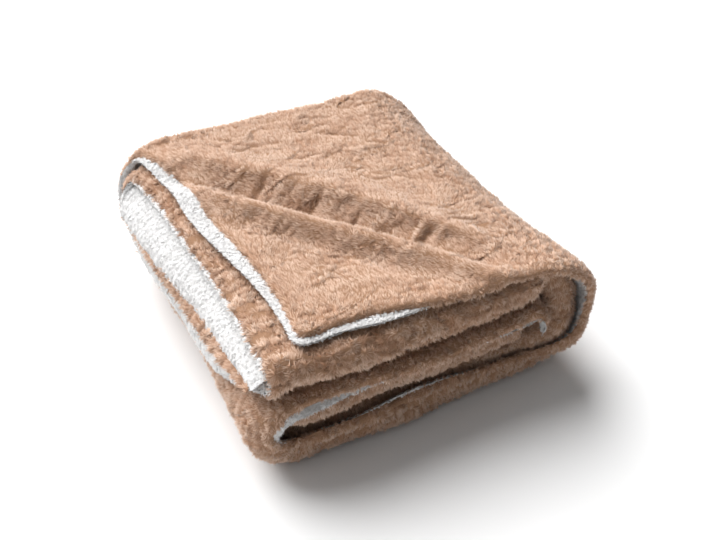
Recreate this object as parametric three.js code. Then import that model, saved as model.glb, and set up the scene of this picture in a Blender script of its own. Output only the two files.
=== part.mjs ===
// A faux fur throw, folded for a shelf or a sofa arm: a plush fur face and a sherpa back, sewn to
// each other all round. It is first rolled front to back into four layers, then folded in three
// from left to right. X runs along the front from left to right, Y to the back, Z up.

import * as THREE from "three";

// Driving sizes in millimetres
const WIDTH = 426;
const DEPTH = 444;
const FUR = 7.2;
const SHERPA = 6.2;
const SEAM = 0.3;
const AIR = 1.4; // between layers
const REST = 2.4; // between the top third and the core
const HEM_FULLNESS = 0.6;

// The four layers of the roll, as heights of their seam surfaces above that of the inner one
const HEIGHTS = {
  inner: 0,
  hidden: FUR + SHERPA + AIR,
  middle: FUR + 3 * SHERPA + 2 * AIR,
  outer: 2 * FUR + 4 * SHERPA + 3 * AIR,
};
const ROLL = HEIGHTS.outer + 2 * FUR;

// The thirds, as heights above the floor of the inner layer's seam surface
const BOTTOM = FUR + HEIGHTS.outer;
const CORE = BOTTOM + 2 * FUR + AIR;
const TOP = CORE + HEIGHTS.outer + 2 * FUR + REST;
const LEFT_CENTRE = { x: ROLL + AIR / 2, z: (BOTTOM + CORE) / 2 };
const RIGHT_REACH = (TOP - BOTTOM) / 2 + HEIGHTS.outer + FUR;
const RIGHT_CENTRE = { x: WIDTH - RIGHT_REACH, z: (BOTTOM + TOP) / 2 };
const SHOULDER = TOP - LEFT_CENTRE.z;

// The roll's turns at the back
const BACK_TURN = DEPTH - HEIGHTS.outer / 2 - FUR;
const HIDDEN_TURN = BACK_TURN - 6;
const HIDDEN_HEM = 6;

// Front edges from the left to the right of each third: length of the outer hem's bend, its radius,
// and how far behind the front that bend starts and the fold under it turns
const FRONT_EDGES = {
  top: {
    lip: [9, 9, 9, 13, 12],
    radius: [120, 110, 50, 29, 29],
    bend: [42, 39, 27, 24, 24],
    fold: [22, 23, 24, 24, 25],
  },
  bottom: { lip: [36, 40, 36], radius: [14, 14, 16], bend: [27, 29, 33], fold: [50, 52, 46] },
  core: { lip: [24, 22, 14], radius: [20, 20, 24], bend: [19, 18, 22], fold: [30, 28, 34] },
};

// How much further back the front stands halfway round each turn, and how far the fold under the
// right turn's front draws back near its top
const CORNERS = { leftTurn: 5, rightTurn: -6 };
const POCKET = 24;

// How far the outer layer's front left corner is rounded off
const ROUNDED_CORNER = 12;

// Length of each layer past the left shoulder of the top third, from the front to the back
const TOP_ENDS = {
  outer: [-11, -12, -7, 0, 8, 46],
  middle: [25, 30, 32, 32, 41, 60],
  hidden: [33, 45, 56, 65, 80, 104],
  inner: [26, 43, 61, 79, 97, 116],
};

// Length of each layer of the core past the centre of the right turn, at the front, halfway and
// the back
const CORE_ENDS = {
  outer: [32, 4, -8],
  middle: [-12, -10, -8],
  hidden: [-16, -12, -10],
  inner: [-10, -12, -12],
};

// Soft drape ridges on the top layer: both ends, crest height and half width, and how they fade
// towards the back turn, towards the right turn and along themselves
const RIDGES = [
  { from: [58, 386], to: [330, 55], height: 12, spread: 24 },
  { from: [46, 305], to: [298, 2], height: 11, spread: 20 },
];
const RIDGE_FADE = { back: 60, right: 40, tail: 0.12 };

// Slow unevenness of the whole pile: the axis that moves, by how much, wavelengths and a phase
const WAVES = [
  { axis: "y", size: 2.6, lengths: [310, 900, 120], phase: 0.4 },
  { axis: "y", size: 1.6, lengths: [140, 700, 90], phase: 2.1 },
  { axis: "x", size: 1.2, lengths: [800, 200, 300], phase: 0.2 },
];
const SAG = 0.03;

// How far the left side and the top of the right side stand in, from the front to the back
const LEFT_SIDE = [0, 3.5, 2, -5.5, -7, 0];
const RIGHT_SIDE = [0, 10, 17.5, 20.5, 19, 13];

// Where the left side's share ends, where the right side's starts and is full along the front and
// in height, and the share of the height by which the right side drops halfway along its depth
const SIDES = { leftEnd: 240, rightStart: 220, rightFull: 400, low: 20, high: 170, drop: 0.04 };

// Distances past the turns where the core's curl ends and the top's drape begins
const CURL_START = -24;
const DRAPE_START = -44;

// Stretches of the roll from its outer hem to its hidden hem, and of the fold in three
const ROLL_PATH = [
  { name: "lip", steps: 4, way: 1 },
  { name: "outer", steps: 12, way: 1 },
  { name: "backTurn", steps: 5, way: 1 },
  { name: "inner", steps: 6, way: -1 },
  { name: "frontTurn", steps: 5, way: 1 },
  { name: "middle", steps: 6, way: 1 },
  { name: "hiddenTurn", steps: 4, way: 1 },
  { name: "hidden", steps: 6, way: -1 },
];
const THIRDS_PATH = [
  { name: "curl", steps: 3, way: -1 },
  { name: "core", steps: 5, way: -1 },
  { name: "leftTurn", steps: 8, way: 1 },
  { name: "bottom", steps: 6, way: 1 },
  { name: "rightTurn", steps: 8, way: 1 },
  { name: "top", steps: 9, way: -1 },
  { name: "drape", steps: 5, way: -1 },
];

const mix = (a, b, t) => a + (b - a) * t;
const smooth = (t) => {
  const c = Math.min(1, Math.max(0, t));
  return c * c * (3 - 2 * c);
};
const share = (value, low, high) => Math.min(1, Math.max(0, (value - low) / (high - low)));

// A value on a smooth curve through values spaced evenly along a side: a parabola through three of
// them, a spline through more
function alongCurve(values, t) {
  if (values.length === 3) {
    const [start, half, end] = values;
    return start * (1 - t) * (1 - 2 * t) + 4 * half * t * (1 - t) + end * t * (2 * t - 1);
  }
  const last = values.length - 2;
  const place = Math.min(1, Math.max(0, t)) * (last + 1);
  const k = Math.min(last, Math.floor(place));
  const f = place - k;
  const b = values[k];
  const c = values[k + 1];
  const a = k > 0 ? values[k - 1] : b;
  const d = k < last ? values[k + 2] : c;
  const bend = a - 2.5 * b + 2 * c - d / 2;
  return b + f * ((c - a) / 2 + f * (bend + f * ((d - a) / 2 + 1.5 * (b - c))));
}

function stations(path) {
  const list = path.flatMap(({ name, steps, way }) =>
    Array.from({ length: steps }, (_, k) => ({ name, way, t: k / steps })),
  );
  const last = path.at(-1);
  return [...list, { name: last.name, way: last.way, t: 1 }];
}

// The front edges at a station of the fold in three
function frontEdges({ name, t }) {
  const { top, bottom, core } = FRONT_EDGES;
  const value = (edge) => ({
    curl: () => core[edge].at(-1),
    core: () => alongCurve(core[edge], 1 - t),
    leftTurn: () => mix(core[edge][0], bottom[edge][0], smooth(t)),
    bottom: () => alongCurve(bottom[edge], t),
    rightTurn: () => mix(bottom[edge].at(-1), top[edge].at(-1), smooth(t)),
    top: () => alongCurve(top[edge], 1 - t),
    drape: () => top[edge][0],
  })[name]();
  const corner = (CORNERS[name] ?? 0) * Math.sin(Math.PI * t);
  const rounded = name === "drape" ? ROUNDED_CORNER * t ** 8 : 0;
  const pocket = name === "rightTurn" ? POCKET * Math.sin(Math.PI * t ** 2) : 0;
  return {
    lip: value("lip"),
    radius: value("radius"),
    bend: value("bend") + corner + rounded,
    fold: value("fold") + corner + pocket,
  };
}

// Position and fur-side direction in the roll's own section: y to the back, h outwards
function inRoll({ name, t }, edges) {
  const flat = (from, to, h, nh) => ({ y: mix(from, to, t), h, ny: 0, nh });
  const turn = (y, from, to, way) => {
    const radius = Math.abs(from - to) / 2;
    const ny = way * Math.sin(Math.PI * t);
    const nh = Math.sign(from - to) * Math.cos(Math.PI * t);
    return { y: y + radius * ny, h: (from + to) / 2 + radius * nh, ny, nh };
  };
  const { outer, middle, hidden, inner } = HEIGHTS;
  const hem = () => {
    const { lip, radius, bend } = edges;
    const past = lip * (1 - t);
    const angle = Math.min(Math.PI / 2, past / radius);
    const down = Math.max(0, past - (radius * Math.PI) / 2);
    const ny = -Math.sin(angle);
    const nh = Math.cos(angle);
    return { y: bend + radius * ny, h: outer - radius + radius * nh - down, ny, nh };
  };
  return {
    lip: hem,
    outer: () => flat(edges.bend, BACK_TURN, outer, 1),
    backTurn: () => turn(BACK_TURN, outer, inner, 1),
    inner: () => flat(BACK_TURN, edges.fold, inner, -1),
    frontTurn: () => turn(edges.fold, inner, middle, -1),
    middle: () => flat(edges.fold, HIDDEN_TURN, middle, 1),
    hiddenTurn: () => turn(HIDDEN_TURN, middle, hidden, 1),
    hidden: () => flat(HIDDEN_TURN, edges.fold + HIDDEN_HEM, hidden, -1),
  }[name]();
}

// The free end of a layer from its table, carried round the turns from one layer to the next
function endLength(table, { name, t }, y) {
  const at = (layer) => alongCurve(table[layer], share(y, 0, DEPTH));
  return {
    lip: () => at("outer"),
    outer: () => at("outer"),
    backTurn: () => mix(at("outer"), at("inner"), smooth(t)),
    inner: () => at("inner"),
    frontTurn: () => mix(at("inner"), at("middle"), smooth(t)),
    middle: () => at("middle"),
    hiddenTurn: () => mix(at("middle"), at("hidden"), smooth(t)),
    hidden: () => at("hidden"),
  }[name]();
}

// Position in the fold in three of a point at height h in the roll
function inThirds({ name, t }, h, ends) {
  const left = LEFT_CENTRE;
  const right = RIGHT_CENTRE;
  const arc = (centre, radius, angle, way) => ({
    x: centre.x + way * radius * Math.sin(angle),
    z: centre.z + radius * Math.cos(angle),
  });
  return {
    curl: () => {
      const past = mix(ends.core, CURL_START, t);
      const radius = CORE + h - right.z;
      if (past > 0 && radius > 1) return arc(right, radius, past / radius, 1);
      return { x: right.x + past, z: CORE + h };
    },
    core: () => ({ x: mix(right.x + CURL_START, left.x, t), z: CORE + h }),
    leftTurn: () => arc(left, CORE - left.z + h, Math.PI * t, -1),
    bottom: () => ({ x: mix(left.x, right.x, t), z: BOTTOM - h }),
    rightTurn: () => arc(right, TOP - right.z + h, Math.PI * (1 - t), 1),
    top: () => ({ x: mix(right.x, left.x - DRAPE_START, t), z: TOP + h }),
    drape: () => {
      const past = mix(DRAPE_START, ends.top, t);
      if (past > 0) return arc(left, SHOULDER + h, past / (SHOULDER + h), -1);
      return { x: left.x - past, z: TOP + h };
    },
  }[name]();
}

// Height of the drape ridges above a place on the top layer
function ridgeHeight(x, y) {
  let height = 0;
  for (const { from, to, height: crest, spread } of RIDGES) {
    const along = new THREE.Vector2(to[0] - from[0], to[1] - from[1]);
    const place = new THREE.Vector2(x - from[0], y - from[1]);
    const t = share(place.dot(along) / along.lengthSq(), 0, 1);
    const away = place.distanceTo(along.clone().multiplyScalar(t));
    const rise = Math.sin(Math.PI * mix(RIDGE_FADE.tail, 1 - RIDGE_FADE.tail, t));
    height += crest * rise * Math.exp(-((away / spread) ** 2));
  }
  return height;
}

// The slow unevenness, which leaves the floor plane flat
function uneven(p) {
  for (const { axis, size, lengths, phase } of WAVES) {
    const [a, b, c] = lengths;
    p[axis] += size * Math.sin(2 * Math.PI * (p.x / a + p.y / b + p.z / c) + phase);
  }
  const along = Math.sin(Math.PI * share(p.y, 0, DEPTH));
  p.z *= 1 - SAG * along * Math.sin(Math.PI * share(p.x, 0, WIDTH));
  const depth = share(p.y, 0, DEPTH);
  const left = 1 - smooth(share(p.x, 0, SIDES.leftEnd));
  const right = smooth(share(p.x, SIDES.rightStart, SIDES.rightFull));
  const high = smooth(share(p.z, SIDES.low, SIDES.high));
  p.x += alongCurve(LEFT_SIDE, depth) * left - alongCurve(RIGHT_SIDE, depth) * right * high;
  p.z *= 1 - SIDES.drop * along * right;
  return p;
}

// A point of the throw: a station of each path, and a distance to the fur side of the seam surface
function place(roll, third, offset) {
  const section = inRoll(roll, frontEdges(third));
  const y = section.y + section.ny * offset;
  const h = section.h + section.nh * offset;
  const ends = {
    top: endLength(TOP_ENDS, roll, section.y),
    core: endLength(CORE_ENDS, roll, section.y),
  };
  const { x, z } = inThirds(third, h, ends);
  const point = uneven(new THREE.Vector3(x, y, z));
  const onTop = third.name === "top" || third.name === "drape";
  if (onTop && (roll.name === "outer" || roll.name === "lip")) {
    const behind = smooth(share(y, BACK_TURN, BACK_TURN - RIDGE_FADE.back));
    const beside = smooth(share(x, RIGHT_CENTRE.x, RIGHT_CENTRE.x - RIDGE_FADE.right));
    point.z += behind * beside * ridgeHeight(x, y);
  }
  return point;
}

// One cloth of the throw as a closed slab between two offsets from the seam surface
function clothGeometry(near, far) {
  const rows = stations(ROLL_PATH);
  const columns = stations(THIRDS_PATH);
  const positions = [];
  const index = [];
  const id = (side, i, j) => (side * rows.length + i) * columns.length + j;
  for (const offset of [near, far]) {
    rows.forEach((row, i) => {
      columns.forEach((column, j) => {
        const atHem = i === 0 || i === rows.length - 1 || j === 0 || j === columns.length - 1;
        const reach = atHem && offset === far ? mix(near, far, HEM_FULLNESS) : offset;
        positions.push(...place(row, column, reach).toArray());
      });
    });
  }
  const quad = (a, b, c, d, turned) => {
    index.push(...(turned ? [a, b, d, b, c, d] : [a, b, c, a, c, d]));
  };
  const lastRow = rows.length - 1;
  const lastColumn = columns.length - 1;
  for (let i = 0; i < lastRow; i++) {
    for (let j = 0; j < lastColumn; j++) {
      const turned = rows[i].way * columns[j].way < 0;
      const corners = [[i, j], [i, j + 1], [i + 1, j + 1], [i + 1, j]];
      const [a, b, c, d] = corners.map(([r, k]) => id(1, r, k));
      quad(a, b, c, d, turned);
      const [e, f, g, k] = corners.map(([r, s]) => id(0, r, s));
      quad(k, g, f, e, !turned);
    }
  }
  for (let i = 0; i < lastRow; i++) {
    quad(id(0, i, 0), id(1, i, 0), id(1, i + 1, 0), id(0, i + 1, 0), false);
    const end = lastColumn;
    quad(id(1, i, end), id(0, i, end), id(0, i + 1, end), id(1, i + 1, end), false);
  }
  for (let j = 0; j < lastColumn; j++) {
    quad(id(0, 0, j + 1), id(1, 0, j + 1), id(1, 0, j), id(0, 0, j), false);
    quad(id(0, lastRow, j), id(1, lastRow, j), id(1, lastRow, j + 1), id(0, lastRow, j + 1), false);
  }
  if (far > near) index.reverse();
  const geometry = new THREE.BufferGeometry();
  geometry.setAttribute("position", new THREE.Float32BufferAttribute(positions, 3));
  geometry.setIndex(index);
  geometry.computeVertexNormals();
  return geometry;
}

function furFace() {
  const material = new THREE.MeshStandardMaterial({ color: 0xc49f82, roughness: 0.95, metalness: 0 });
  const mesh = new THREE.Mesh(clothGeometry(SEAM / 2, FUR), material);
  mesh.name = "fur_face";
  return mesh;
}

function sherpaBack() {
  const material = new THREE.MeshStandardMaterial({ color: 0xe9e6e1, roughness: 0.98, metalness: 0 });
  const mesh = new THREE.Mesh(clothGeometry(-SEAM / 2, -SHERPA), material);
  mesh.name = "sherpa_back";
  return mesh;
}

const throwFolded = new THREE.Group();
throwFolded.add(furFace(), sherpaBack());

// The origin goes to the middle of the base
const box = new THREE.Box3().setFromObject(throwFolded);
const middle = box.getCenter(new THREE.Vector3());
throwFolded.position.set(-middle.x, -middle.y, -box.min.z);

export default throwFolded;
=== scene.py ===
"""A folded faux fur throw: its plush fur cloth, its sherpa cloth and their pile, on a plain studio floor."""

import math
from types import SimpleNamespace as Named

import bmesh
import bpy
import numpy as np
from bpy.props import FloatProperty, FloatVectorProperty, IntProperty, PointerProperty
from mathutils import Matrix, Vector
from mathutils.bvhtree import BVHTree


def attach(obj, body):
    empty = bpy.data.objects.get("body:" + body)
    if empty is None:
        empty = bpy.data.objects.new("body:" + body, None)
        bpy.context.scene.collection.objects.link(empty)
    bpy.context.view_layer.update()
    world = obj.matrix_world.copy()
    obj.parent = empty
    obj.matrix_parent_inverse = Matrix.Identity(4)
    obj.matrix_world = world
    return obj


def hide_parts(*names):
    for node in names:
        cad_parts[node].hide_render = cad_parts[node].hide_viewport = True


bl_info = {
    "name": "Folded Faux Fur Throw",
    "version": (1, 0, 0),
    "blender": (4, 5, 0),
    "location": "3D View > Sidebar > Throw",
    "description": "Builds a folded plush throw with a sherpa back, and its studio",
    "category": "Add Mesh",
}

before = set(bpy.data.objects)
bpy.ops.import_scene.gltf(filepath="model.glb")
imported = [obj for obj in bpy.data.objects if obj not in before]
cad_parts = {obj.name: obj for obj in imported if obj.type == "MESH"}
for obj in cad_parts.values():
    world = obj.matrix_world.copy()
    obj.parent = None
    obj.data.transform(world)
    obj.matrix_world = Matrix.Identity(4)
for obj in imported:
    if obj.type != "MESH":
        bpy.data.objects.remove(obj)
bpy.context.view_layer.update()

MM = 0.001
IMAGE_WIDTH = 716

# The studio: half the floor's size in metres, the spread in degrees and the way of each light, the
# point that the camera looks at, in millimetres from the throw's corner, and the camera's sensor
FLOOR_SIZE = 6
KEY_LIGHT = (62, (-0.16, 0.68, 0.72))
LEFT_LIGHT = (90, (-1, 0.1, 0.45))
AIM = (220, 210, 60)
SENSOR = 36

# The throw's fold, in millimetres from its front left corner. X runs to the right, Y to the back.
CORNER = (202.115, 221.099)

# Front edges of each third from the left to the right: length of the outer hem's bend, its radius,
# and how far behind the front that bend starts and the fold under it turns
FRONT_EDGES = {
    "lip": {"top": (9, 9, 9, 13, 12), "bottom": (42, 42, 36), "core": (17, 18, 14)},
    "radius": {"top": (120, 110, 50, 29, 29), "bottom": (14, 14, 16), "core": (27, 25, 24)},
    "bend": {"top": (42, 39, 27, 24, 24), "bottom": (27, 29, 33), "core": (19, 18, 22)},
    "fold": {"top": (22, 23, 24, 24, 25), "bottom": (47, 45, 43), "core": (30, 28, 34)},
}
# How far the front stands in at the middle of each turn, and how far the folds inside the right turn
# and the flap's corner do, with how late along their stretch
LEFT_CORNER = 5
RIGHT_CORNER = -6
RIGHT_POCKET = Named(depth=24, late=4)
FLAP_CORNER = Named(depth=12, late=8)

# Length of each layer past the left shoulder of the top third, from the front to the back,
# and of each layer of the core past the centre of the right turn
TOP_ENDS = {
    "outer": (-11, -12, -7, 0, 8, 46),
    "middle": (25, 30, 32, 32, 41, 60),
    "hidden": (33, 45, 56, 65, 80, 104),
    "inner": (24, 60, 72, 80, 97, 116),
}
CORE_ENDS = {
    "outer": (32, 4, -8),
    "middle": (-12, -10, -8),
    "hidden": (-16, -12, -10),
    "inner": (-10, -12, -12),
}

# How far each cloth's pile spills past its hems: at the front of each third from the left to the
# right, and at the left end of each layer from the front to the back
FRONT_SPILL = {
    "fur": {"top": (3, 6, 6, 6, 5), "bottom": (4, 4, 4), "core": (3, 4, 4)},
    "sherpa": {"top": (9, 15, 3, -1, 2), "bottom": (0, 6, -3), "core": (11, 7, 0, 3, 6)},
}
SIDE_SPILL = {
    "fur": {"outer": (2, 2), "middle": (2, 2), "hidden": (16, 22, 10, 3), "inner": (2, 2)},
    "sherpa": {
        "outer": (6, 12, 19, 21, 18, 3), "middle": (5, 5), "hidden": (11, 11, 9, 5), "inner": (2, 16, 6, 2)
    },
}

# Drape ridges on the top layer: both ends, crest height (a trough is negative), and half width
# towards the front and the back
RIDGES = (
    ((58, 386), (330, 55), 17, 14, 38),
    ((46, 305), (298, 2), 15, 13, 17),
    ((0, 405), (290, 40), -10.5, 13, 12),
    ((60, 246), (250, 18), -6, 11, 11),
)
# How far before the back and the right turns they fade, and how much of the fading is left out at
# their ends
RIDGE_FADE = Named(back=60, right=40, tail=0.12)

# Slow unevenness of the whole pile: the axis that moves, by how much, wavelengths and a phase
WAVES = (
    (1, 2.6, (310, 900, 120), 0.4),
    (1, 1.6, (140, 700, 90), 2.1),
    (0, 1.2, (800, 200, 300), 0.2),
)
# The share of its height that the middle of the throw sinks
SAG = 0.03
# How far the left side and the top of the right side stand in, from the front to the back, and how
# far in the left side's shift reaches
LEFT_SIDE = (0, 3.5, 2, -5.5, -7, 0)
RIGHT_SIDE = (0, 10, 17.5, 20.5, 19, 13)
LEFT_REACH = 240
# The right side: how much lower it is, and between which heights and widths it draws in
PINCH = Named(drop=0.04, low=20, high=170, start=220, end=400)
# Where the free ends of the core and of the top third begin, past their turns' centres
CURL_START = -24
DRAPE_START = -44
# How far inside the outer layers the hidden turn and the hidden hem lie
HIDDEN_BACK = 6
HIDDEN_HEM = 6
# Distance to the hem for places far from any, more than every hem's radius
NO_HEM = 1000

# Stretches of the roll and of the fold in three, and each cloth's steps along them
ROLL = ("lip", "outer", "backTurn", "inner", "frontTurn", "middle", "hiddenTurn", "hidden")
THIRDS = ("curl", "core", "leftTurn", "bottom", "rightTurn", "top", "drape")
ROLL_STEPS = {
    "fur": dict(zip(ROLL, (14, 74, 16, 14, 20, 26, 8, 12))),
    "sherpa": dict(zip(ROLL, (12, 30, 10, 10, 10, 16, 6, 8))),
}
THIRDS_STEPS = {
    "fur": dict(zip(THIRDS, (10, 12, 20, 14, 26, 62, 24))),
    "sherpa": dict(zip(THIRDS, (12, 10, 14, 10, 26, 30, 26))),
}
# The stretches that are the top layer and the ends of the layers on the left
TOP_LAYER = (("lip", "outer"), ("top", "drape"))
LAYER_ENDS = (("frontTurn", "middle"), ("top", "drape"))

# Short creases of the fur on the top layer: both ends, depth (a trough is negative) and half width
CREASES = (
    ((107, 258), (150, 287), -4, 4),
    ((122, 238), (160, 266), 2.5, 5),
    ((144, 202), (192, 228), -3, 4.5),
    ((164, 164), (216, 174), -4, 4),
    ((182, 147), (230, 160), 2.5, 5),
    ((200, 130), (243, 142), -3.5, 4),
    ((227, 102), (269, 126), 3.5, 4),
    ((236, 97), (276, 120), -3.5, 4),
    ((252, 92), (288, 112), 2.5, 5),
    ((118, 348), (162, 362), -2.6, 4),
    ((160, 361), (190, 353), -2.2, 3.5),
    ((233, 360), (292, 331), -2.6, 3.5),
    ((207, 234), (232, 237), -2.2, 3),
    ((268, 162), (306, 157), -2.4, 3),
    ((284, 240), (313, 219), -2.4, 3),
    ((179, 309), (206, 305), -2, 3),
    ((285, 282), (312, 274), -2.2, 3),
)

# The way the pile is combed: back along the top, down the sides
COMB = np.array((0.15, 0.9, -1.0))

# How far each cloth's modelled ground stays under its full depth, and the radius of its hems
FUR_GROUND = Named(under=2.2, hem=6.0)
SHERPA_GROUND = Named(under=1.4, hem=6.5)
HALF_SEAM = 0.15
# How ruffled the fur's ground is taken to be
HALF_RUFFLED = 0.5
# Cloth and pile up to this height lie on the floor, and this much room is left under them
ON_FLOOR = 2.6 * MM
FLOOR_ROOM = 0.2 * MM

# The fur's relief. Each noise or scattering of centres has its size across and down the cloth and its
# seed. Lengths are in millimetres, and what is compared with noise is in the noise's own values.
WANDER = Named(reach=12, across=(40, 40, 11), down=(40, 40, 12))
LINES = Named(noise=(46, 17, 13), height=1.4, crest=0.14, crest_width=0.1, groove_width=0.075)
OFTEN = Named(noise=(62, 40, 14), low=-0.12, high=0.2)
SWELL = Named(noise=(34, 22, 15), height=1.8)
CLUMPS = Named(
    centres=(7.5, 7.5, 16), bending=(6, 6, 17), bend=0.5, rim=0.6, height=1.3, vary=1.8, sides=1.3
)
END_FOLDS = Named(
    noise=(45, 12, 19), bending=(15, 15, 18), bend=0.5, height=2.6, groove=2.4, width=0.09
)
DEEPEST = -3.4
RUFFLED = Named(broad=(55, 38, 21), fine=(18, 15, 22), fine_share=0.4, low=-0.25, high=0.35)
# The sherpa's relief, in the same way
CURLS = Named(centres=(5.2, 5.2, 34), bending=(4, 4, 33), bend=0.3, rim=0.6, height=1.2, vary=1.2)
CURL_SWELL = Named(noise=(15, 15, 32), height=0.9)

# Strands of fur. A pair holds a value for smooth pile and what ruffled pile adds, or a least value
# and what chance adds.
STRAND = Named(
    broad=(48, 40, 41), fine=(9, 9, 42), lay=1.3, fine_lay=(0.3, 0.8), own_turn=(0.18, 0.17),
    clumps=(4.5, 9, 43), gather=(0.3, 0.6), sunk=0.8, size=(0.8, 0.4), shorter_at_hem=0.25,
    lean=76, upright=10, upright_at_rim=30, own_lean=5, leans=(30, 86), root_spread=0.1, tip_spread=0.14,
    tip_forward=0.2, ruffled_sides=0.8, least_rough=(0.25, 0.75), seed=5,
)
# Each strand's tint: its own share at random, its clump's, more where the pile is smooth, and painted shade
# that darkens it where the relief is low, per millimetre
FUR_TINT_AND_SHADE = Named(own=0.35, clump=0.35, smooth=0.2, height=(0.09, 0.09))
FUR_PIECES = 4
# Curled strands of sherpa
FLUFF = Named(turn=1.7, lean=(66, 88), size=(0.7, 0.6), sunk=0.6, tip_forward=0.35, seed=8)
# Each curl's tint: a middle value, painted shade that darkens it where the curls are low, per millimetre, and
# its own share at random
FLUFF_TINT_AND_SHADE = Named(middle=0.5, height=0.35, own=0.25)

# Rays that tell what light and a viewer can reach: lean from the normal, and step and start of the
# turn round it, in degrees. Then how far over each kind of surface they start, how steeply down they
# may go near the floor, and what rests on the floor, face down.
LIGHT_FAN = ((0, 360, 0), (50, 60, 0), (78, 72, 30), (86, 20, 0))
RAY_LIFT = Named(far=2.5 * MM, near=1.6 * MM, rim=1.0 * MM)
NEAR_FLOOR = 20 * MM
TO_FLOOR = -0.5
RESTING = Named(height=4 * MM, down=-0.7)

# Squares along each side of a noise's grid before it repeats
NOISE_TABLE = 256


def mix(a, b, t):
    return a + (b - a) * t


def raised(pair, by):
    """A pair's first value, raised by a share of its second."""
    return pair[0] + pair[1] * by


def smooth(t):
    c = np.clip(t, 0, 1)
    return c * c * (3 - 2 * c)


def share(value, low, high):
    return np.clip((value - low) / (high - low), 0, 1)


def along_curve(values, t):
    """A value on a smooth curve through values spaced evenly along a side."""
    if len(values) == 3:
        start, half, end = values
        return start * (1 - t) * (1 - 2 * t) + 4 * half * t * (1 - t) + end * t * (2 * t - 1)
    v = np.array([values[0], *values, values[-1]], float)
    place = np.clip(t, 0, 1) * (len(values) - 1)
    k = np.minimum(place.astype(int), len(values) - 2)
    f = place - k
    a, b, c, d = v[k], v[k + 1], v[k + 2], v[k + 3]
    return b + f * ((c - a) / 2 + f * (a - 2.5 * b + 2 * c - d / 2 + f * ((d - a) / 2 + 1.5 * (b - c))))


def unit(v):
    return v / np.maximum(np.linalg.norm(v, axis=-1, keepdims=True), 1e-12)


def stations(steps):
    """The names and shares of the stations along a path of named stretches."""
    found = [(name, k / n) for name, n in steps.items() for k in range(n)]
    return found + [(list(steps)[-1], 1.0)]


def noise_at(u, v, kind, shift=0):
    """Smooth noise between about -0.7 and 0.7, from random slopes on a grid. Its kind is the grid's
    size across and down the cloth and a seed, and the shift is across, in squares of the grid."""
    across, down, seed = kind
    x, y = u / across + shift, v / down
    size = NOISE_TABLE
    angles = np.random.default_rng(seed).uniform(0, 2 * np.pi, (size, size))
    xi, yi = np.floor(x).astype(int), np.floor(y).astype(int)
    fx, fy = x - xi, y - yi
    total = np.zeros_like(fx)
    for dx in (0, 1):
        for dy in (0, 1):
            angle = angles[(xi + dx) % size, (yi + dy) % size]
            slope = np.cos(angle) * (fx - dx) + np.sin(angle) * (fy - dy)
            total += smooth(1 - abs(fx - dx)) * smooth(1 - abs(fy - dy)) * slope
    return total


def nearest_clump(u, v, kind, shift=0):
    """The way and the distance, in squares of the grid, to the nearest of centres scattered one to each
    square, and that centre's own share. The kind and the shift are as for the noise."""
    across, down, seed = kind
    x, y = u / across + shift, v / down
    size = NOISE_TABLE
    centres = np.random.default_rng(seed).uniform(0, 1, (size, size, 3))
    xi, yi = np.floor(x).astype(int), np.floor(y).astype(int)
    best = np.full(x.shape, np.inf)
    way = np.zeros(x.shape + (2,))
    tint = np.zeros(x.shape)
    for dx in (-1, 0, 1):
        for dy in (-1, 0, 1):
            cell = centres[(xi + dx) % size, (yi + dy) % size]
            to = np.stack([xi + dx + cell[..., 0] - x, yi + dy + cell[..., 1] - y], -1)
            away = (to**2).sum(-1)
            nearer = away < best
            best = np.where(nearer, away, best)
            way = np.where(nearer[..., None], to, way)
            tint = np.where(nearer, cell[..., 2], tint)
    return way, np.sqrt(best), tint


def segment_bump(x, y, start, end, near, far, tail=0.0):
    """How close a place is to a line between two ends, from 0 to 1; near and far are its half widths
    on each side, and tail how much of the line's fading is left out at its ends."""
    along = np.subtract(end, start)
    length = np.hypot(*along)
    px, py = x - start[0], y - start[1]
    t = np.clip((px * along[0] + py * along[1]) / length**2, 0, 1)
    cx, cy = px - t * along[0], py - t * along[1]
    left = along[0] * cy - along[1] * cx > 0
    spread = np.where(left, far, near)
    return np.exp(-(cx**2 + cy**2) / spread**2) * np.sin(np.pi * mix(tail, 1 - tail, t))


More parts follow.
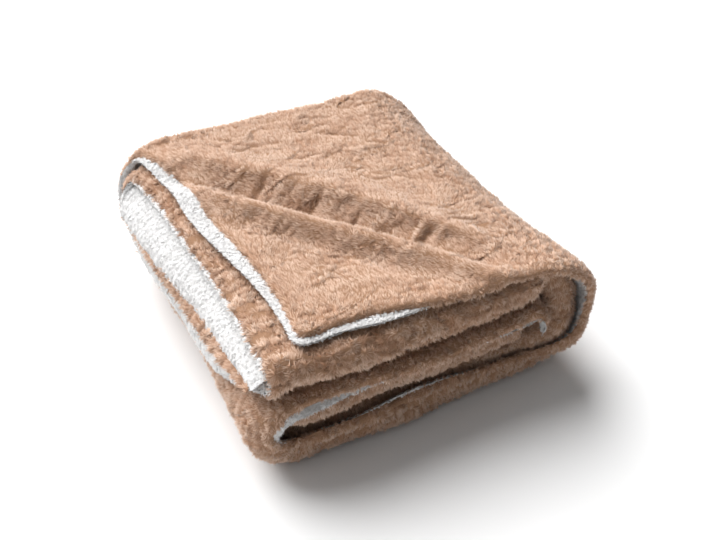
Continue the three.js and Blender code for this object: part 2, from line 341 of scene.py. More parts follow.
class Fold:
    """The folded shape: places on the throw from stations of the roll and of the fold in three."""

    def __init__(self, sizes):
        fur, sherpa, air = (v / MM for v in (sizes.fur, sizes.sherpa, sizes.air))
        self.fur, self.sherpa = fur, sherpa
        self.width, self.depth = sizes.width / MM, sizes.depth / MM
        rest = sizes.rest / MM
        self.inner = 0.0
        self.hidden = fur + sherpa + air
        self.middle = fur + 3 * sherpa + 2 * air
        self.outer = 2 * fur + 4 * sherpa + 3 * air
        self.bottom = fur + self.outer
        self.core = self.bottom + 2 * fur + air
        self.top = self.core + self.outer + 2 * fur + rest
        self.left_x = self.outer + 2 * fur + air / 2
        self.left_z = (self.bottom + self.core) / 2
        self.right_x = self.width - ((self.top - self.bottom) / 2 + self.outer + fur)
        self.right_z = (self.bottom + self.top) / 2
        self.back_turn = self.depth - self.outer / 2 - fur

    def front_edges(self, name, t):
        """Lip, radius, bend and fold of the front at stations of one stretch of the fold in three."""
        turning = np.sin(np.pi * t)
        corner = {"leftTurn": LEFT_CORNER, "rightTurn": RIGHT_CORNER}.get(name, 0) * turning
        pocket = RIGHT_POCKET.depth * np.sin(np.pi * t**RIGHT_POCKET.late) if name == "rightTurn" else 0
        lip, radius, bend, fold = (self.along_front(edge, name, t) for edge in FRONT_EDGES.values())
        rounded = FLAP_CORNER.depth * t**FLAP_CORNER.late if name == "drape" else 0
        return lip, radius, bend + corner + rounded, fold + corner + pocket

    def along_front(self, table, name, t):
        """A value of the front edges, given for each third from the left to the right."""
        top, bottom, core = (table[k] for k in ("top", "bottom", "core"))
        return {
            "curl": lambda: core[-1] + 0 * t,
            "core": lambda: along_curve(core, 1 - t),
            "leftTurn": lambda: mix(core[0], bottom[0], smooth(t)),
            "bottom": lambda: along_curve(bottom, t),
            "rightTurn": lambda: mix(bottom[-1], top[-1], smooth(t)),
            "top": lambda: along_curve(top, 1 - t),
            "drape": lambda: top[0] + 0 * t,
        }[name]()

    def in_roll(self, name, t, edges, reach):
        """Position and outward direction in the roll's section; reach is the length added at its hems."""
        lip, radius, bend, fold = edges

        def flat(start, end, h, nh):
            y = mix(start, end, t) + 0 * lip
            return y, h + 0 * y, 0 * y, nh + 0 * y

        def turn(y, start, end, way):
            size = abs(start - end) / 2
            ny = way * math.sin(math.pi * t) + 0 * lip
            nh = math.copysign(1, start - end) * math.cos(math.pi * t) + 0 * lip
            return y + size * ny, (start + end) / 2 + size * nh, ny, nh

        def hem():
            past = (lip + reach) * (1 - t)
            angle = np.minimum(np.pi / 2, past / radius)
            down = np.maximum(0, past - radius * np.pi / 2)
            ny, nh = -np.sin(angle), np.cos(angle)
            return bend + radius * ny, self.outer - radius + radius * nh - down, ny, nh

        back = self.back_turn - HIDDEN_BACK
        return {
            "lip": hem,
            "outer": lambda: flat(bend, self.back_turn, self.outer, 1),
            "backTurn": lambda: turn(self.back_turn, self.outer, self.inner, 1),
            "inner": lambda: flat(self.back_turn, fold, self.inner, -1),
            "frontTurn": lambda: turn(fold, self.inner, self.middle, -1),
            "middle": lambda: flat(fold, back, self.middle, 1),
            "hiddenTurn": lambda: turn(back, self.middle, self.hidden, 1),
            "hidden": lambda: flat(back, fold + HIDDEN_HEM - reach, self.hidden, -1),
        }[name]()

    def end_length(self, table, name, t, y):
        """The free end of a layer, carried round the turns from one layer to the next."""
        at = {layer: along_curve(lengths, share(y, 0, self.depth)) for layer, lengths in table.items()}
        s = smooth(t)
        return {
            "lip": at["outer"],
            "outer": at["outer"],
            "backTurn": mix(at["outer"], at["inner"], s),
            "inner": at["inner"],
            "frontTurn": mix(at["inner"], at["middle"], s),
            "middle": at["middle"],
            "hiddenTurn": mix(at["middle"], at["hidden"], s),
            "hidden": at["hidden"],
        }[name]

    def in_thirds(self, name, t, h, top_end, core_end):
        """Position in the fold in three of points at height h in the roll."""

        def arc(x, z, radius, angle, way):
            return x + way * radius * np.sin(angle), z + radius * np.cos(angle)

        def bent(past, centre_x, centre_z, level, way):
            radius = level + h - centre_z
            turns = (past > 0) & (radius > 1)
            safe = np.where(turns, radius, 1)
            ax, az = arc(centre_x, centre_z, safe, np.where(turns, past, 0) / safe, way)
            return np.where(turns, ax, centre_x + way * past), np.where(turns, az, level + h)

        return {
            "curl": lambda: bent(mix(core_end, CURL_START, t), self.right_x, self.right_z, self.core, 1),
            "core": lambda: (mix(self.right_x + CURL_START, self.left_x, t) + 0 * h, self.core + h),
            "leftTurn": lambda: arc(self.left_x, self.left_z, self.core - self.left_z + h, np.pi * t, -1),
            "bottom": lambda: (mix(self.left_x, self.right_x, t) + 0 * h, self.bottom - h),
            "rightTurn": lambda: arc(
                self.right_x, self.right_z, self.top - self.right_z + h, np.pi * (1 - t), 1
            ),
            "top": lambda: (mix(self.right_x, self.left_x - DRAPE_START, t) + 0 * h, self.top + h),
            "drape": lambda: bent(mix(DRAPE_START, top_end, t), self.left_x, self.left_z, self.top, -1),
        }[name]()

    def ridge_height(self, x, y):
        height = 0 * x
        for start, end, crest, near, far in RIDGES:
            height = height + crest * segment_bump(x, y, start, end, near, far, RIDGE_FADE.tail)
        behind = smooth(share(y, self.back_turn, self.back_turn - RIDGE_FADE.back))
        beside = smooth(share(x, self.right_x, self.right_x - RIDGE_FADE.right))
        return height * behind * beside

    def uneven(self, p):
        """The slow unevenness, which leaves the floor plane flat."""
        for axis, size, (a, b, c), phase in WAVES:
            p[..., axis] += size * np.sin(2 * np.pi * (p[..., 0] / a + p[..., 1] / b + p[..., 2] / c) + phase)
        along = np.sin(np.pi * share(p[..., 1], 0, self.depth))
        p[..., 2] *= 1 - SAG * along * np.sin(np.pi * share(p[..., 0], 0, self.width))
        depth = share(p[..., 1], 0, self.depth)
        left = 1 - smooth(share(p[..., 0], 0, LEFT_REACH))
        right = smooth(share(p[..., 0], PINCH.start, PINCH.end))
        high = smooth(share(p[..., 2], PINCH.low, PINCH.high))
        p[..., 0] += along_curve(LEFT_SIDE, depth) * left - along_curve(RIGHT_SIDE, depth) * right * high
        p[..., 2] *= 1 - PINCH.drop * along * right
        return p

    def surface(self, cloth, offset, hem_radius=0.0):
        """A grid of places at an offset from the seam surface, spilling past the hems, and its X and Y
        before the unevenness. A hem radius brings the offset down to the seam there in a quarter round."""
        rows = stations(ROLL_STEPS[cloth])
        columns = stations(THIRDS_STEPS[cloth])
        grid = np.zeros((len(rows), len(columns), 3))
        for i, (roll, s) in enumerate(rows):
            for name in THIRDS:
                js = [j for j, (n, _) in enumerate(columns) if n == name]
                t = np.array([columns[j][1] for j in js])
                front = self.along_front(FRONT_SPILL[cloth], name, t)
                edges = self.front_edges(name, t)
                y, h, ny, nh = self.in_roll(roll, s, edges, front)
                side = self.end_length(SIDE_SPILL[cloth], roll, s, y)
                top_end = self.end_length(TOP_ENDS, roll, s, y) + side
                core_end = self.end_length(CORE_ENDS, roll, s, y)
                to_hem = {
                    "lip": s * (edges[0] + front),
                    "hidden": (1 - s) * self.depth,
                    "drape": (1 - t) * (top_end - DRAPE_START),
                    "curl": t * (core_end - CURL_START),
                }
                rounded = offset
                if hem_radius:
                    reach = np.minimum(to_hem.get(roll, NO_HEM), to_hem.get(name, NO_HEM))
                    rounded = offset * np.sqrt(1 - (1 - np.clip(reach / hem_radius, 0, 1)) ** 2)
                y, h = y + ny * rounded, h + nh * rounded
                x, z = self.in_thirds(name, t, h, top_end, core_end)
                if name in ("top", "drape") and roll in ("outer", "lip"):
                    z = z + self.ridge_height(x, y)
                grid[i, js] = np.stack([x, y, z], -1)
        flat_x, flat_y = grid[..., 0].copy(), grid[..., 1].copy()
        self.uneven(grid)
        grid[..., 2] = np.maximum(grid[..., 2], 0)
        grid[..., :2] -= CORNER
        return grid * MM, flat_x, flat_y


def cut_lengths(grid):
    """Distance along the cloth of each row and each column of a grid, from its first ones."""
    down = np.linalg.norm(np.diff(grid, axis=0), axis=2).mean(1)
    across = np.linalg.norm(np.diff(grid, axis=1), axis=2).mean(0)
    return np.concatenate([[0], np.cumsum(down)]), np.concatenate([[0], np.cumsum(across)])


def grid_frames(grid):
    """Unit vectors along the rows' and the columns' directions of a grid, and its normals."""
    down, across = unit(np.gradient(grid, axis=0)), unit(np.gradient(grid, axis=1))
    return down, across, unit(np.cross(down, across))


def slab(name, far, near, flat):
    """A closed cloth from two grids: a flat sheet given a thickness, then laid on the folded shape."""
    rows, columns = far.shape[:2]

    def spot(co):
        return round((co.y + 0.5) * (rows - 1)), round((co.x + 0.5) * (columns - 1))

    bm = bmesh.new()
    bmesh.ops.create_grid(bm, x_segments=columns - 1, y_segments=rows - 1, size=0.5)
    made = bmesh.ops.extrude_face_region(bm, geom=bm.faces[:], use_keep_orig=True)
    lifted = [v for v in made["geom"] if isinstance(v, bmesh.types.BMVert)]
    bmesh.ops.translate(bm, vec=(0, 0, 1), verts=lifted)
    uv = bm.loops.layers.uv.new("cut")
    v_along, u_along = flat
    for face in bm.faces:
        for loop in face.loops:
            i, j = spot(loop.vert.co)
            loop[uv].uv = (u_along[j], v_along[i])
    for vert in bm.verts:
        vert.co = (far if vert.co.z > 0.5 else near)[spot(vert.co)]
    bmesh.ops.recalc_face_normals(bm, faces=bm.faces[:])
    return finished(name, bm)


def linked(name, data):
    """A new object for a mesh, a light or a camera, in the scene."""
    made = bpy.data.objects.new(name, data)
    bpy.context.scene.collection.objects.link(made)
    return made


def finished(name, bm):
    mesh = bpy.data.meshes.new(name)
    bm.to_mesh(mesh)
    bm.free()
    mesh.shade_smooth()
    return linked(name, mesh)


def joined_strands(name, points, facing, uvs):
    """Strands of one triangle each as a single mesh, from each corner's place, facing and finish values."""
    strands = len(points)
    if not strands:
        raise RuntimeError(f"no place was found for {name}")
    corners = np.arange(3 * strands, dtype=np.int32)
    mesh = bpy.data.meshes.new(name)
    mesh.vertices.add(len(corners))
    mesh.vertices.foreach_set("co", points.reshape(-1).astype(np.float32))
    mesh.loops.add(len(corners))
    mesh.loops.foreach_set("vertex_index", corners)
    mesh.polygons.add(strands)
    mesh.polygons.foreach_set("loop_start", corners[::3].copy())
    mesh.polygons.foreach_set("use_smooth", np.ones(strands, bool))
    layer = mesh.uv_layers.new(name="pile")
    layer.data.foreach_set("uv", uvs.reshape(-1).astype(np.float32))
    mesh.update(calc_edges=True)
    mesh.normals_split_custom_set_from_vertices(facing.reshape(-1, 3))
    return linked(name, mesh)


def open_to_light(tree, centres, normals, lift):
    """1 for each place from which any of a fan of rays meets no cloth, else 0."""
    fan = [(lean, start + k * step) for lean, step, start in LIGHT_FAN for k in range(360 // step)]
    free = np.zeros(len(centres))
    askew = (0.31, 0.52, 0.79)
    side = unit(np.cross(normals, askew))
    other = np.cross(normals, side)
    for lean, turn in fan:
        a, b = math.radians(lean), math.radians(turn)
        way = math.cos(a) * normals + math.sin(a) * (math.cos(b) * side + math.sin(b) * other)
        starts = centres + normals * lift[:, None]
        clear_of_floor = (way[:, 2] > TO_FLOOR) | (starts[:, 2] > NEAR_FLOOR)
        for k in np.flatnonzero((free == 0) & clear_of_floor):
            free[k] = tree.ray_cast(starts[k], way[k])[0] is None
    return free


class Exposed:
    """The quads of a cloth's two sides and its rims that light and a viewer can reach, with the values
    that can be read anywhere on them."""

    def __init__(self, far, near, tree, **more):
        down, across, _ = grid_frames(far)
        through = unit(far - near)
        none = np.zeros(far.shape[:2])
        shared = {"down": down, "across": across, "rim": none, **more}
        sheets = [
            {"place": far, "normal": outward(far, near), "lift": none + RAY_LIFT.far, **shared},
            {"place": near, "normal": outward(near, far), "lift": none + RAY_LIFT.near, **shared},
        ]
        edges = (
            (np.s_[0], -down, across),
            (np.s_[-1], down, across),
            (np.s_[:, 0], -across, down),
            (np.s_[:, -1], across, down),
        )
        for cut, away, along in edges:
            rim = {**shared, "normal": away, "lift": none + RAY_LIFT.rim}
            rim.update(down=along, across=through, rim=none + 1)
            sheet = {name: np.stack([value[cut], value[cut]]) for name, value in rim.items()}
            sheets.append({"place": np.stack([far[cut], near[cut]]), **sheet})
        corners, first = [], 0
        for sheet in sheets:
            rows, columns = sheet["rim"].shape
            index = first + np.arange(rows * columns).reshape(rows, columns)
            around = [index[:-1, :-1], index[:-1, 1:], index[1:, 1:], index[1:, :-1]]
            corners.append(np.stack(around, -1).reshape(-1, 4))
            first += rows * columns
        corners = np.concatenate(corners)
        self.values = {}
        for name, value in sheets[0].items():
            shape = (-1, 3) if value.ndim == 3 else (-1,)
            self.values[name] = np.concatenate([sheet[name].reshape(shape) for sheet in sheets])
        p = self.values["place"][corners]
        area = np.linalg.norm(np.cross(p[:, 2] - p[:, 0], p[:, 3] - p[:, 1]), axis=1) / 2
        centre, facing = p.mean(1), unit(self.values["normal"][corners].mean(1))
        free = open_to_light(tree, centre, facing, self.values["lift"][corners[:, 0]])
        resting = (centre[:, 2] < RESTING.height) & (facing[:, 2] < RESTING.down)
        kept = (free > 0) & ~resting
        self.corners, self.area = corners[kept], area[kept]

    def read(self, name, corners, weights):
        value = self.values[name]
        found = (value[corners] * weights.reshape(weights.shape + (1,) * (value.ndim - 1))).sum(1)
        return unit(found) if name in ("down", "across", "normal") else found


class Value:
    """A socket's value, so that shader maths is written as expressions."""

    def __init__(self, tree, socket):
        self.tree, self.socket = tree, socket

    def maths(self, operation, a, b):
        node = self.tree.nodes.new("ShaderNodeMath")
        node.operation = operation
        for socket, value in zip(node.inputs, (a, b)):
            if isinstance(value, Value):
                self.tree.links.new(value.socket, socket)
            else:
                socket.default_value = value
        return Value(self.tree, node.outputs[0])

    def __add__(self, other):
        return self.maths("ADD", self, other)

    def __rsub__(self, other):
        return self.maths("SUBTRACT", other, self)

    def __mul__(self, other):
        return self.maths("MULTIPLY", self, other)


class Finish:
    """A material being made: its nodes come from one method."""

    def __init__(self, name):
        self.material = bpy.data.materials.new(name)
        self.material.use_nodes = True
        self.tree = self.material.node_tree
        self.shader = self.tree.nodes["Principled BSDF"]

    def node(self, kind, settings=None, **values):
        node = self.tree.nodes.new("ShaderNode" + kind)
        for key, value in (settings or {}).items():
            setattr(node, key, value)
        self.fill(node, **values)
        return node

    def fill(self, node, **values):
        """Set or link sockets by name, with _ for a space, or by number, as in i6."""
        for key, value in values.items():
            numbered = key[0] == "i" and key[1:].isdigit()
            socket = node.inputs[int(key[1:]) if numbered else key.replace("_", " ")]
            if isinstance(value, Value):
                self.tree.links.new(value.socket, socket)
            else:
                socket.default_value = value

    def out(self, node, name):
        return Value(self.tree, node.outputs[name])

    def blend(self, factor, a, b, mode="MIX"):
        node = self.node("Mix", {"data_type": "RGBA", "blend_type": mode}, i0=factor, i6=a, i7=b)
        return Value(self.tree, node.outputs[2])

    def noise(self, scale, detail, roughness):
        place = self.out(self.node("TexCoord"), "Object")
        node = self.node("TexNoise", None, Scale=scale, Detail=detail, Roughness=roughness, Vector=place)
        return self.out(node, "Fac")


def linear(rgb):
    """An 8-bit colour as the shader's own linear values."""
    return tuple(((v / 255 + 0.055) / 1.055) ** 2.4 for v in rgb) + (1.0,)


def pile_finish(name, root, tip, shade, sheen):
    """Strands of pile: pale at the tip and darker towards the root, which is painted shade deep in the pile,
    and each a little paler or darker than the next, by its own tone and by painted shade in the relief's
    hollows.
    """
    f = Finish(name)
    uv = f.node("UVMap", {"uv_map": "pile"})
    parts = f.node("SeparateXYZ", None, Vector=f.out(uv, "UV"))
    tint, rise = f.out(parts, "X"), f.out(parts, "Y")
    # Painted shade: the strand's colour darkens from the tip down to the root
    strand = f.blend(rise, root, tip)
    patches = f.noise(scale=28, detail=3, roughness=0.6)
    # The darker share: the strand's tint, which holds its own tone and painted shade in low relief, and
    # random patches
    darker = (1.0 - tint) * 0.8 + (1.0 - patches) * 0.2
    f.fill(
        f.shader, Base_Color=f.blend(darker, strand, shade, "MULTIPLY"), Roughness=0.9,
        Sheen_Weight=sheen, Sheen_Roughness=0.45, Specular_IOR_Level=0.15,
    )
    return f.material


def cloth_finish(name, root, ground_shade, scale):
    """The close pile under the strands: its roots' colour mottled at random with a darker one, both painted
    shade between the strands, with a fine bump.
    """
    f = Finish(name)
    mottle = f.noise(scale, detail=4, roughness=0.65)
    fine = f.noise(scale * 6, detail=3, roughness=0.6)
    colour = f.blend(mottle * 0.6 + fine * 0.4, ground_shade, root)
    bump = f.node("Bump", None, Strength=0.8, Distance=2 * MM, Height=fine + mottle)
    normal = f.out(bump, "Normal")
    f.fill(f.shader, Base_Color=colour, Roughness=0.95, Normal=normal, Specular_IOR_Level=0.1)
    return f.material


def length(name, description, default):
    return FloatProperty(name=name, description=description, default=default, unit="LENGTH")


def angle(name, description, degrees):
    default = math.radians(degrees)
    return FloatProperty(name=name, description=description, default=default, subtype="ANGLE")


def colour(name, description, *rgb):
    return FloatVectorProperty(
        name=name, description=description, default=linear(rgb), size=4, subtype="COLOR"
    )


class ThrowSizes(bpy.types.PropertyGroup):
    """Sizes of the throw."""

    width: length("Folded width", "Left hems to right turn", 0.426)
    depth: length("Folded depth", "Front to back", 0.444)
    fur: length("Fur depth", "Thickness of the fur cloth with its pile", 0.0072)
    sherpa: length("Sherpa depth", "Thickness of the sherpa cloth with its pile", 0.0062)
    air: length("Air", "Air between two layers", 0.0014)
    rest: length("Rest", "Air between the top third and the core", 0.0024)
    strand: length("Strand length", "Length of the fur's strands", 0.0066)
    strand_width: length("Strand width", "Width of a strand at its root", 0.0012)
    strands: IntProperty(name="Strands", description="Strands of fur in all", default=590000)
    curl: length("Curl length", "Length of the sherpa's curled strands", 0.0028)
    curl_width: length("Curl width", "Width of a curled strand", 0.0013)
    curls: IntProperty(name="Curls", description="Sherpa curls in all", default=180000)


class ThrowColours(bpy.types.PropertyGroup):
    """Colours of the throw and the studio."""

    fur_tip: colour("Fur tips", "Pale ends of the fur", 240, 217, 199)
    # Painted shade deep in the pile: the roots are darker than the tips
    fur_shaded_root: colour("Fur roots", "Dark roots of the fur", 176, 138, 110)
    # Laid on strands that are darker by their own tone and, as painted shade, where the relief is low
    fur_shade: colour("Fur shade", "Tint of the darker strands", 200, 170, 146)
    # Painted shade between the strands: the ground is darker than the roots
    fur_ground_shade: colour("Fur hollows", "Ground between the fur's roots", 158, 122, 96)
    sherpa_tip: colour("Sherpa", "Curls of the sherpa", 242, 242, 243)
    # Painted shade deep in the curls: their roots are a little darker than their tips
    sherpa_shaded_root: colour("Sherpa roots", "Cloth between the curls", 234, 233, 232)
    # Laid on curls that are darker by their own tone and, as painted shade, where the curls are low
    sherpa_shade: colour("Sherpa shade", "Tint of the darker curls", 226, 225, 224)
    # Painted shade between the curls: the ground is darker than their roots
    sherpa_ground_shade: colour("Sherpa hollows", "Ground between the curls' roots", 214, 212, 210)
    floor: FloatProperty(
        name="Floor", description="Paleness of the studio floor", default=0.9, subtype="FACTOR"
    )


class ThrowStudio(bpy.types.PropertyGroup):
    """The camera and the light."""

    azimuth: angle("Azimuth", "Turn of the camera round the throw", -26)
    elevation: angle("Elevation", "Height of the camera above the horizon", 40.6)
    distance: length("Distance", "Camera to its target", 1.058)
    focal: FloatProperty(
        name="Focal length", description="In pixels of the picture", default=850, subtype="PIXEL"
    )
    sky: FloatProperty(name="Fill light", description="Strength of the even light", default=0.15)
    sun: FloatProperty(name="Key light", description="Strength of the light from behind", default=5.7)
    side: FloatProperty(name="Left light", description="Strength of the light from the left", default=0.9)


def relief(u, v, x, y, on_top, at_end, rough):
    """Height of the fur's own creases and clumps, in millimetres, at a place of the cut cloth."""
    wu = u + WANDER.reach * noise_at(u, v, WANDER.across)
    wv = v + WANDER.reach * noise_at(u, v, WANDER.down)
    lines = noise_at(wu, wv, LINES.noise)
    often = smooth(share(noise_at(u, v, OFTEN.noise), OFTEN.low, OFTEN.high))
    crest = LINES.height * np.exp(-(((lines - LINES.crest) / LINES.crest_width) ** 2))
    height = often * (crest - LINES.height * np.exp(-((lines / LINES.groove_width) ** 2)))
    height = height + SWELL.height * noise_at(u, v, SWELL.noise)

    bend = CLUMPS.bend * noise_at(u, v, CLUMPS.bending)
    _, away, tint = nearest_clump(u, v, CLUMPS.centres, bend)
    clump = CLUMPS.height + CLUMPS.vary * tint + CLUMPS.sides * (1 - on_top)
    height = height + rough * (CLUMPS.rim - away) * clump

    folds = noise_at(u, v, END_FOLDS.noise, END_FOLDS.bend * noise_at(u, v, END_FOLDS.bending))
    groove = END_FOLDS.groove * np.exp(-((folds / END_FOLDS.width) ** 2))
    height = height + at_end * (END_FOLDS.height * folds - groove)
    for start, end, depth, spread in CREASES:
        height = height + on_top * depth * segment_bump(x, y, start, end, spread, spread)
    return np.maximum(height, DEEPEST)


def curly(u, v):
    """Height of the sherpa's curls, in millimetres, at a place of the cut cloth."""
    _, away, tint = nearest_clump(u, v, CURLS.centres, CURLS.bend * noise_at(u, v, CURLS.bending))
    swell = CURL_SWELL.height * noise_at(u, v, CURL_SWELL.noise)
    return (CURLS.rim - away) * (CURLS.height + CURLS.vary * tint) + swell


def ruffled(u, v):
    """How ruffled the pile is, from 0 where it is brushed smooth to 1."""
    found = noise_at(u, v, RUFFLED.broad) + RUFFLED.fine_share * noise_at(u, v, RUFFLED.fine)
    return smooth(share(found, RUFFLED.low, RUFFLED.high))


class THROW_OT_stage(bpy.types.Operator):
    """Make the studio floor, the light and the camera"""

    bl_idname = "throw.stage"
    bl_label = "Stage"

    def execute(self, context):
        scene, studio = context.scene, context.scene.throw_studio
        bm = bmesh.new()
        bmesh.ops.create_grid(bm, x_segments=1, y_segments=1, size=FLOOR_SIZE)
        floor = finished("floor", bm)
        f = Finish("studio floor")
        pale = (scene.throw_colours.floor,) * 3 + (1.0,)
        f.fill(f.shader, Base_Color=pale, Roughness=0.8, Specular_IOR_Level=0.2)
        floor.data.materials.append(f.material)

        world = bpy.data.worlds.new("studio light")
        world.use_nodes = True
        fill = world.node_tree.nodes["Background"].inputs
        fill["Color"].default_value = (1, 1, 1, 1)
        fill["Strength"].default_value = studio.sky
        scene.world = world
        for name, strength, spread, way in (
            ("key light", studio.sun, *KEY_LIGHT),
            ("left light", studio.side, *LEFT_LIGHT),
        ):
            sun = bpy.data.lights.new(name, "SUN")
            sun.energy = strength
            sun.angle = math.radians(spread)
            linked(name, sun).rotation_euler = Vector(way).to_track_quat("Z", "Y").to_euler()

        a, e = studio.azimuth, studio.elevation
        back = Vector((math.sin(a) * math.cos(e), -math.cos(a) * math.cos(e), math.sin(e)))
        x, y, z = AIM
        target = Vector((x - CORNER[0], y - CORNER[1], z)) * MM
        camera = bpy.data.cameras.new("camera")
        camera.sensor_width = SENSOR
        camera.lens = studio.focal * camera.sensor_width / IMAGE_WIDTH
        holder = linked("camera", camera)
        holder.location = target + back * studio.distance
        holder.rotation_euler = back.to_track_quat("Z", "Y").to_euler()
        scene.camera = holder
        scene.view_settings.view_transform = "Standard"
        return {"FINISHED"}


def cloth_grids(fold, cloth):
    """A cloth's places on its pile side and its seam side, the first ones' before the unevenness, its
    lengths down and across, and these at each place in millimetres."""
    depth, ground, way = {
        "fur": (fold.fur, FUR_GROUND, 1),
        "sherpa": (fold.sherpa, SHERPA_GROUND, -1),
    }[cloth]
    far, x, y = fold.surface(cloth, way * (depth - ground.under), ground.hem)
    near, _, _ = fold.surface(cloth, way * HALF_SEAM)
    if not (np.isfinite(far).all() and np.isfinite(near).all()):
        raise RuntimeError(f"the throw's sizes leave no room to fold the {cloth} cloth")
    along = cut_lengths(near)
    v, u = np.meshgrid(along[0] / MM, along[1] / MM, indexing="ij")
    return Named(far=far, near=near, x=x, y=y, u=u, v=v, along=along)


def outward(grid, near):
    """Normals of an outer grid, turned away from the seam side."""
    _, _, normal = grid_frames(grid)
    side = ((grid - near) * normal).sum(-1, keepdims=True)
    return np.where(side.mean() < 0, -normal, normal)


class THROW_OT_cloths(bpy.types.Operator):
    """Make the fur cloth and the sherpa cloth, folded together"""

    bl_idname = "throw.cloths"
    bl_label = "Cloths"

    def execute(self, context):
        scene = context.scene
        fold = Fold(scene.throw_sizes)
        colours = scene.throw_colours
        for cloth in ("fur", "sherpa"):
            at = cloth_grids(fold, cloth)
            height = 0 * at.u
            if cloth == "fur":
                where = in_fur(*TOP_LAYER), in_fur(*LAYER_ENDS)
                height = relief(at.u, at.v, at.x, at.y, *where, HALF_RUFFLED)
            fixed = (at.far[..., 2:] < ON_FLOOR).astype(float)
            far = at.far + outward(at.far, at.near) * (height * MM)[..., None] * (1 - fixed)
            far[..., 2] = np.maximum(far[..., 2], FLOOR_ROOM * (1 - fixed[..., 0]))
            piece = slab(f"{cloth}_cloth", far, at.near, at.along)
            if cloth == "fur":
                # The ground under the pile is painted in the shade that falls between the strands
                finish = cloth_finish("fur roots", colours.fur_shaded_root, colours.fur_ground_shade, scale=160)
                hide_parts("fur_face")
            else:
                root, ground_shade = colours.sherpa_shaded_root, colours.sherpa_ground_shade
                finish = cloth_finish("sherpa ground", root, ground_shade, scale=220)
                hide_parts("sherpa_back")
            piece.data.materials.append(finish)
            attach(piece, "root")
            print(cloth, "cut", round(at.along[1][-1], 3), round(at.along[0][-1], 3))
        return {"FINISHED"}


def in_fur(rolled, thirds):
    """1 in the named stretches of the roll and of the fold in three, 0 elsewhere, on the fur's grid."""
    by_row = np.array([name in rolled for name, _ in stations(ROLL_STEPS["fur"])])
    by_column = np.array([name in thirds for name, _ in stations(THIRDS_STEPS["fur"])])
    return (by_row[:, None] & by_column).astype(float)


def cloths_tree():
    """All cloth surfaces, for casting rays."""
    bm = bmesh.new()
    for name in ("fur_cloth", "sherpa_cloth"):
        if name not in bpy.data.objects:
            raise RuntimeError("make the cloths before their pile")
        bm.from_mesh(bpy.data.objects[name].data)
    tree = BVHTree.FromBMesh(bm)
    bm.free()
    return tree


def spread_places(grid, wanted, seed, **more):
    """Random places on a cloth where it is exposed, with their values, and the generator for the rest."""
    spots = Exposed(grid.far, grid.near, cloths_tree(), u=grid.u, v=grid.v, **more)
    rng = np.random.default_rng(seed)
    per_area = wanted / spots.area.sum()
    count = np.floor(spots.area * per_area + rng.random(len(spots.area))).astype(int)
    quad = np.repeat(np.arange(len(count)), count)
    s, t = rng.random(len(quad)), rng.random(len(quad))
    weights = np.stack([(1 - s) * (1 - t), (1 - s) * t, s * t, s * (1 - t)], -1)
    corners = spots.corners[quad]
    return Named(**{name: spots.read(name, corners, weights) for name in spots.values}), rng


def tilted(at, across, down):
    """The normals of relief that rises by these heights in a millimetre across and down the cloth."""
    return unit(at.normal - at.across * across[:, None] - at.down * down[:, None])


def combed_way(slope, turned):
    """The combed way along the pile's surface, turned by an angle for each place."""
    combed = unit(COMB - slope * (slope @ COMB)[:, None])
    return combed * np.cos(turned) + np.cross(slope, combed) * np.sin(turned)


def strand_corners(root, half, tip, root_facing, tip_facing, tint):
    """Places, facing and finish values of each strand's three corners: the places are kept off the floor, and
    the values are the strand's tint, which holds painted shade, and 0 at its root to 1 at its tip."""
    points = np.stack([root - half, root + half, tip], 1)
    points[..., 2] = np.maximum(points[..., 2], FLOOR_ROOM)
    facing = np.stack([root_facing, root_facing, tip_facing], 1)
    rise = np.repeat(np.array([[0.0, 0.0, 1.0]]), len(points), 0)
    return points, facing, np.stack([np.repeat(tint, 3, 1), rise], -1)


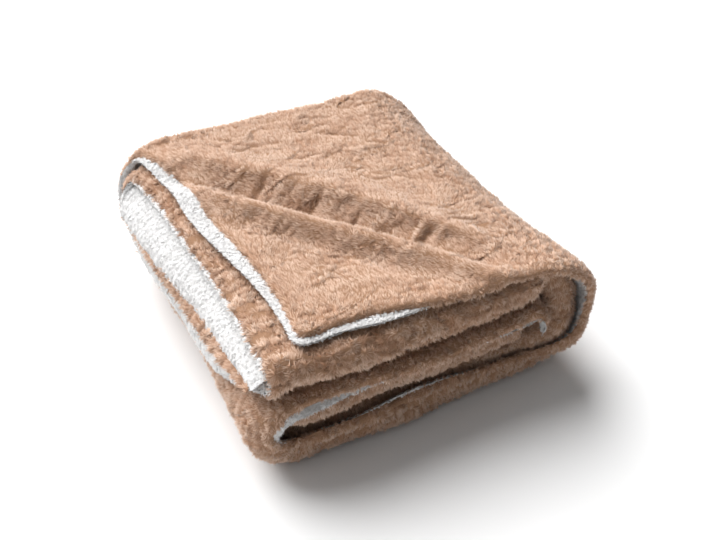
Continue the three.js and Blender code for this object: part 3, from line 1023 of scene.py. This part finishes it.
def fur_strands(at, sizes, rng):
    """The corners of strands of fur at places of its cloth."""
    count = len(at.u)
    sides = STRAND.ruffled_sides * (1 - at.on_top) + at.hem
    rough = np.clip(np.maximum(ruffled(at.u, at.v), sides), 0, 1)
    loose = raised(STRAND.least_rough, rough)

    def high(du, dv):
        x, y = (flat + du * at.across[:, k] + dv * at.down[:, k] for k, flat in enumerate((at.x, at.y)))
        return relief(at.u + du, at.v + dv, x, y, at.on_top, at.at_end, loose)

    height = high(0, 0)
    slope = tilted(at, high(1, 0) - height, high(0, 1) - height)
    lift = np.where(at.place[:, 2] < ON_FLOOR, 0, height) * MM
    root = at.place + at.normal * lift[:, None] - slope * STRAND.sunk * MM

    turned = STRAND.lay * noise_at(at.u, at.v, STRAND.broad)
    turned = turned + raised(STRAND.fine_lay, rough) * noise_at(at.u, at.v, STRAND.fine)
    turned = (turned + rng.normal(0, raised(STRAND.own_turn, rough), count))[:, None]
    flow = combed_way(slope, turned)
    way, _, clump_tint = nearest_clump(at.u, at.v, STRAND.clumps)
    gather = at.across * way[:, :1] + at.down * way[:, 1:]
    flow = unit(flow + gather * raised(STRAND.gather, rough)[:, None])
    flow = unit(flow - slope * (flow * slope).sum(-1, keepdims=True))
    side = np.cross(flow, slope)

    long = sizes.strand * raised(STRAND.size, rng.random(count)) * (1 - STRAND.shorter_at_hem * at.hem)
    wide = sizes.strand_width * raised(STRAND.size, rng.random(count))
    lean = STRAND.lean - STRAND.upright * rough - STRAND.upright_at_rim * at.rim
    lean = np.radians(np.clip(lean + rng.normal(0, STRAND.own_lean, count), *STRAND.leans))
    tip = root + long[:, None] * (np.cos(lean)[:, None] * slope + np.sin(lean)[:, None] * flow)
    root_facing = unit(slope + side * rng.normal(0, STRAND.root_spread, (count, 1)))
    tip_facing = unit(slope + flow * STRAND.tip_forward + side * rng.normal(0, STRAND.tip_spread, (count, 1)))
    tint = FUR_TINT_AND_SHADE.own * rng.random(count) + FUR_TINT_AND_SHADE.clump * clump_tint + FUR_TINT_AND_SHADE.smooth * (1 - rough)
    # Painted shade: strands are darker where the relief is low, in creases and between clumps
    tint = np.clip(tint + raised(FUR_TINT_AND_SHADE.height, rough) * height, 0, 1)
    half = side * wide[:, None] / 2
    return strand_corners(root, half, tip, root_facing, tip_facing, tint[:, None])


def sherpa_fluff(at, sizes, rng):
    """The corners of curled strands of sherpa at places of its cloth."""
    count = len(at.u)
    height = curly(at.u, at.v)
    slope = tilted(at, curly(at.u + 1, at.v) - height, curly(at.u, at.v + 1) - height)
    flow = combed_way(slope, rng.uniform(-FLUFF.turn, FLUFF.turn, (count, 1)))
    side = np.cross(flow, slope)
    lean = np.radians(rng.uniform(*FLUFF.lean, (count, 1)) - STRAND.upright_at_rim * at.rim[:, None])
    long = sizes.curl * raised(FLUFF.size, rng.random((count, 1)))
    half = side * sizes.curl_width * raised(FLUFF.size, rng.random((count, 1))) / 2
    low = at.place[:, 2] < ON_FLOOR
    sunk = rng.uniform(-FLUFF.sunk, FLUFF.sunk, (count, 1))
    root = at.place + at.normal * (np.where(low, 0, height)[:, None] + sunk) * MM
    tip = root + long * (np.cos(lean) * slope + np.sin(lean) * flow)
    tip_facing = unit(slope + flow * FLUFF.tip_forward)
    own = rng.uniform(-FLUFF_TINT_AND_SHADE.own, FLUFF_TINT_AND_SHADE.own, (count, 1))
    # Painted shade: curls are darker where the sherpa's relief is low
    tint = np.clip(FLUFF_TINT_AND_SHADE.middle + FLUFF_TINT_AND_SHADE.height * height[:, None] + own, 0, 1)
    return strand_corners(root, half, tip, slope, tip_facing, tint)


class THROW_OT_fur_pile(bpy.types.Operator):
    """Make the strands of the fur wherever the fur cloth can be seen"""

    bl_idname = "throw.fur_pile"
    bl_label = "Fur pile"

    def execute(self, context):
        sizes, colours = context.scene.throw_sizes, context.scene.throw_colours
        grid = cloth_grids(Fold(sizes), "fur")
        at, rng = spread_places(
            grid, sizes.strands, STRAND.seed, x=grid.x, y=grid.y, hem=in_fur(("lip",), THIRDS),
            on_top=in_fur(*TOP_LAYER), at_end=in_fur(*LAYER_ENDS),
        )
        strands = fur_strands(at, sizes, rng)

        tones = colours.fur_shaded_root, colours.fur_tip, colours.fur_shade
        finish = pile_finish("fur strands", *tones, sheen=0.25)
        from_front = np.argsort(at.place[:, 1])
        for k, group in enumerate(np.array_split(from_front, FUR_PIECES), 1):
            piece = joined_strands(f"fur_pile_{k}", *(values[group] for values in strands))
            piece.data.materials.append(finish)
            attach(piece, "root")
        return {"FINISHED"}


class THROW_OT_sherpa_curls(bpy.types.Operator):
    """Make the curls of the sherpa wherever the sherpa cloth can be seen"""

    bl_idname = "throw.sherpa_curls"
    bl_label = "Sherpa curls"

    def execute(self, context):
        sizes, colours = context.scene.throw_sizes, context.scene.throw_colours
        grid = cloth_grids(Fold(sizes), "sherpa")
        at, rng = spread_places(grid, sizes.curls, FLUFF.seed)
        tones = colours.sherpa_shaded_root, colours.sherpa_tip, colours.sherpa_shade
        finish = pile_finish("sherpa curls", *tones, sheen=0.1)
        piece = joined_strands("sherpa_curls", *sherpa_fluff(at, sizes, rng))
        piece.data.materials.append(finish)
        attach(piece, "root")
        return {"FINISHED"}


class THROW_PT_panel(bpy.types.Panel):
    """The throw's pieces and settings"""

    bl_idname = "THROW_PT_panel"
    bl_label = "Throw"
    bl_space_type = "VIEW_3D"
    bl_region_type = "UI"
    bl_category = "Throw"

    def draw(self, context):
        for group in (context.scene.throw_sizes, context.scene.throw_colours, context.scene.throw_studio):
            for name in group.__annotations__:
                self.layout.prop(group, name)
        for operator in OPERATORS:
            self.layout.operator(operator.bl_idname)


GROUPS = {"throw_sizes": ThrowSizes, "throw_colours": ThrowColours, "throw_studio": ThrowStudio}
OPERATORS = (THROW_OT_stage, THROW_OT_cloths, THROW_OT_fur_pile, THROW_OT_sherpa_curls)


def register():
    for kind in (*GROUPS.values(), *OPERATORS, THROW_PT_panel):
        bpy.utils.register_class(kind)
    for name, group in GROUPS.items():
        setattr(bpy.types.Scene, name, PointerProperty(type=group))


def unregister():
    for name in GROUPS:
        delattr(bpy.types.Scene, name)
    for kind in (THROW_PT_panel, *OPERATORS, *GROUPS.values()):
        bpy.utils.unregister_class(kind)


def main():
    register()
    for operator in OPERATORS:
        getattr(bpy.ops.throw, operator.bl_idname.split(".")[1])()


if __name__ == "__main__":
    main()
